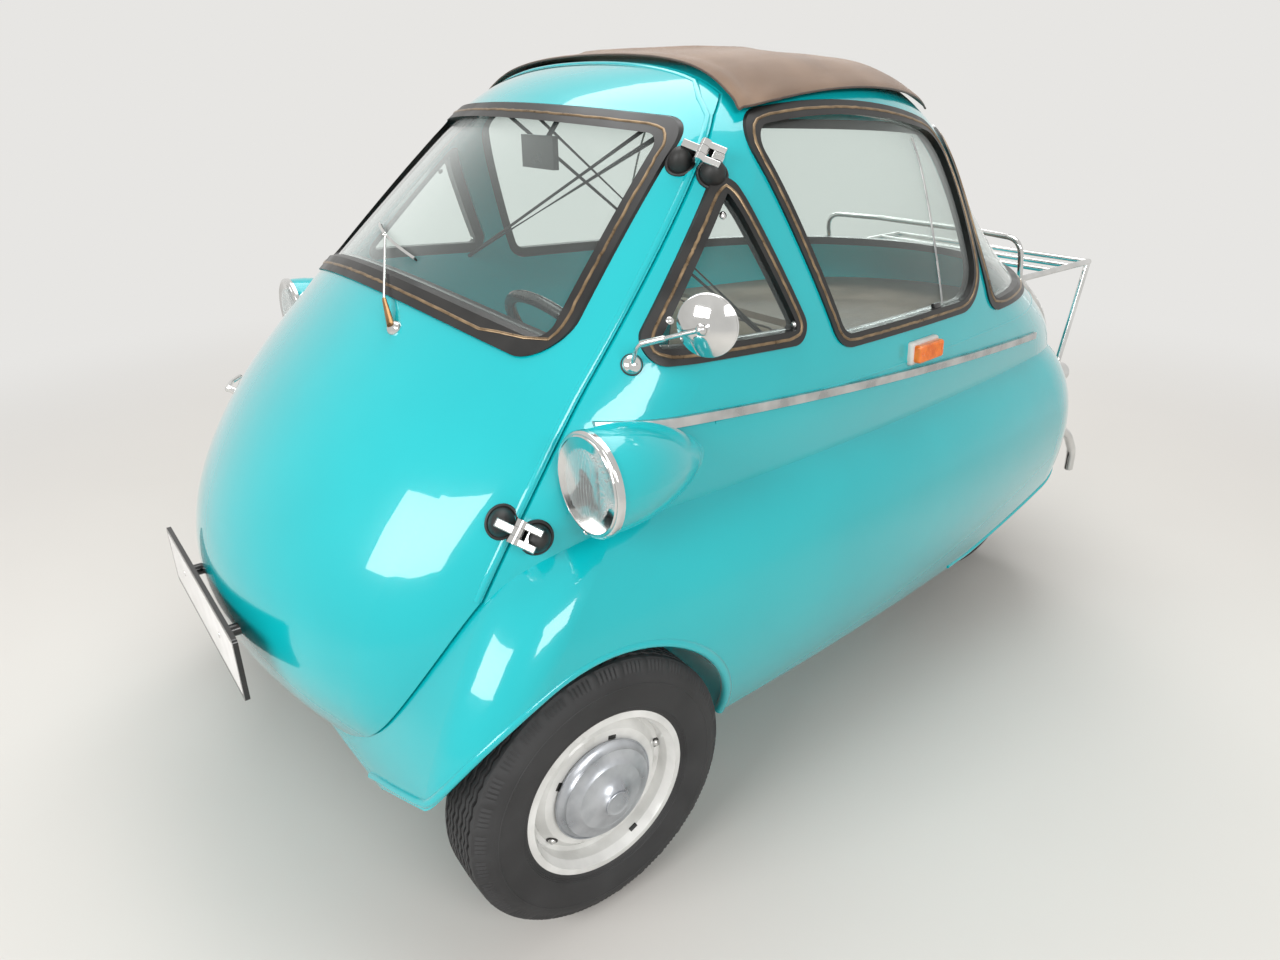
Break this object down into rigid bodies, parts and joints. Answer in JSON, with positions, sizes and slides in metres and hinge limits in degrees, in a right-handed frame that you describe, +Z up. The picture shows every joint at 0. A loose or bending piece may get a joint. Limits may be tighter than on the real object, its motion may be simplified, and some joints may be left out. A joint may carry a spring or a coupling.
{
  "type": "bubble car",
  "caption": "Small egg-shaped two-seat car with a full-width front door, wide front track and twin rear wheels close together.",
  "frame": {"origin": "on the ground below the middle of the car's length and width", "axes": "+X the car's left side, +Y its tail, +Z up; the front door faces -Y"},
  "size_m": [1.4496, 2.308, 1.3466],
  "materials": {
    "body_paint": "gloss turquoise",
    "glass": "clear",
    "rubber": "satin black",
    "roof_cloth": "brown cloth",
    "trim_metal": "satin",
    "chrome": "polished",
    "grey_plastic": "light grey",
    "amber_lens": "clear orange",
    "red_lens": "clear red",
    "seat_cloth": "beige cloth",
    "black_metal": "satin black",
    "engine_metal": "as cast",
    "dash_paint": "satin beige",
    "black_plastic": "black",
    "tyre": "black rubber",
    "wheel_paint": "white gloss",
    "hub_metal": "satin"
  },
  "bodies": {
    "car_body": {"lower_body": "body_paint", "upper_frame": "body_paint", "floor_pan": "body_paint", "bulkhead": "body_paint", "rear_shelf": "dash_paint", "side_window_left": "glass", "side_window_right": "glass", "quarter_windows": "glass", "window_rubbers": "rubber", "rear_window": "glass", "rear_window_rubber": "rubber", "fabric_roof": "roof_cloth", "trim_strips": "trim_metal", "headlamp_pods": "body_paint", "headlamp_rings": "chrome", "headlamp_glasses": "glass", "indicator_bases": "grey_plastic", "indicator_lamps": "amber_lens", "door_mirror": "chrome", "tail_lamps": "red_lens", "luggage_rack": "chrome", "bumper_horns": "chrome", "seat_cushion": "seat_cloth", "seat_back": "seat_cloth", "seat_stand": "black_metal", "hinge_brackets": "body_paint", "chassis_frame": "black_metal", "engine_block": "engine_metal", "chain_case": "black_metal", "rear_springs": "black_metal", "exhaust": "chrome"},
    "front_door": {"door_shell": "body_paint", "windscreen": "glass", "windscreen_rubber": "rubber", "dashboard": "dash_paint", "wiper": "chrome", "front_plate": "black_plastic", "inner_mirror": "black_plastic", "hinge_arms": "body_paint"},
    "steering": {"steering_wheel": "black_plastic"},
    "steer_knuckle_left": {"knuckle_left": "black_metal"},
    "steer_knuckle_right": {"knuckle_right": "black_metal"},
    "front_wheel_left": {"front_tyre_left": "tyre", "front_rim_left": "wheel_paint", "hub_cap_left": "hub_metal"},
    "front_wheel_right": {"front_tyre_right": "tyre", "front_rim_right": "wheel_paint", "hub_cap_right": "hub_metal"},
    "rear_wheels": {"rear_axle": "black_metal", "rear_rims": "wheel_paint", "rear_tyres": "tyre"},
    "side_lid": {"engine_lid": "body_paint"}
  },
  "joints": [
    {"name": "door_hinge", "type": "hinge", "parent": "car_body", "child": "front_door", "pos_m": [0.57337, -0.81311, 0.70617], "axis": [-0.1627, 0.6466, 0.7452], "range_deg": [0, 75]},
    {"name": "steering_turn", "type": "hinge", "parent": "front_door", "child": "steering", "pos_m": [0.24, -0.47, 0.8], "axis": [0, 0.8, 0.6], "range_deg": [-340, 340]},
    {"name": "steer_left", "type": "hinge", "parent": "car_body", "child": "steer_knuckle_left", "pos_m": [0.538, -0.725, 0.24], "axis": [0, 0, 1], "range_deg": [-28, 28]},
    {"name": "steer_right", "type": "hinge", "parent": "car_body", "child": "steer_knuckle_right", "pos_m": [-0.538, -0.725, 0.24], "axis": [0, 0, 1], "range_deg": [-28, 28]},
    {"name": "front_spin_left", "type": "hinge", "parent": "steer_knuckle_left", "child": "front_wheel_left", "pos_m": [0.604, -0.725, 0.24], "axis": [1, 0, 0], "continuous": true},
    {"name": "front_spin_right", "type": "hinge", "parent": "steer_knuckle_right", "child": "front_wheel_right", "pos_m": [-0.604, -0.725, 0.24], "axis": [1, 0, 0], "continuous": true},
    {"name": "rear_spin", "type": "hinge", "parent": "car_body", "child": "rear_wheels", "pos_m": [0, 0.775, 0.24], "axis": [1, 0, 0], "continuous": true},
    {"name": "lid_hinge", "type": "hinge", "parent": "car_body", "child": "side_lid", "pos_m": [-0.57476, 0.432, 0.585], "axis": [0.1536, 0.9881, 0], "range_deg": [0, 75]}
  ],
  "couplings": [
    {"joint": "steer_right", "follows": "steer_left", "ratio": 1},
    {"joint": "steering_turn", "follows": "steer_left", "ratio": 12}
  ]
}
